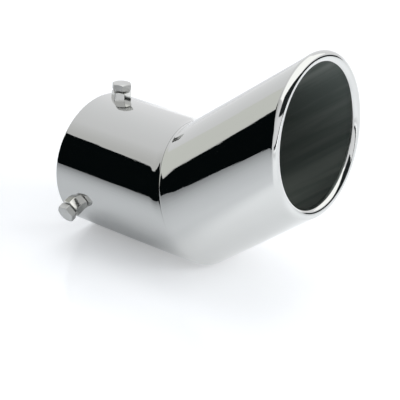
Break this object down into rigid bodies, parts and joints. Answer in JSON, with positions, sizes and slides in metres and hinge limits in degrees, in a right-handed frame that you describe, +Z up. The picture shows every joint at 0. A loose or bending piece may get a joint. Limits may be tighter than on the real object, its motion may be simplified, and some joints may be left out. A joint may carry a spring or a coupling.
{
  "type": "exhaust tip",
  "caption": "Bolt-on polished exhaust tip: straight clamp sleeve with set screws, mitred elbow and slanted outlet with an inward-rolled rim.",
  "frame": {"origin": "centre of the inlet mouth, on the clamp sleeve's axis", "axes": "+X along the clamp sleeve's axis, into the tip and towards the outlet; +Z up as the tip lies on a level surface, on the sleeve and the head of one clamp screw; +Y completes the right-handed frame"},
  "size_m": [0.1515, 0.0958, 0.1314],
  "materials": {
    "polished_sheet": "mirror polished",
    "weld_nut": "bright, lightly brushed",
    "clamp_screw": "bright"
  },
  "bodies": {
    "tip": {"inlet_sleeve": "polished_sheet", "outlet_tube": "polished_sheet", "clamp_nut_top": "weld_nut", "clamp_nut_near": "weld_nut", "clamp_nut_far": "weld_nut"},
    "screw_top": {"clamp_screw_top": "clamp_screw"},
    "screw_near": {"clamp_screw_near": "clamp_screw"},
    "screw_far": {"clamp_screw_far": "clamp_screw"}
  },
  "joints": [
    {"name": "screw_top_travel", "type": "slide", "parent": "tip", "child": "screw_top", "axis": [0, 0.134, 0.991], "range_m": [-0.0008, 0.004]},
    {"name": "screw_near_travel", "type": "slide", "parent": "tip", "child": "screw_near", "axis": [0, -0.9409, -0.3387], "range_m": [-0.0008, 0.004]},
    {"name": "screw_far_travel", "type": "slide", "parent": "tip", "child": "screw_far", "axis": [0, 0.6858, -0.7278], "range_m": [-0.0008, 0.004]}
  ]
}
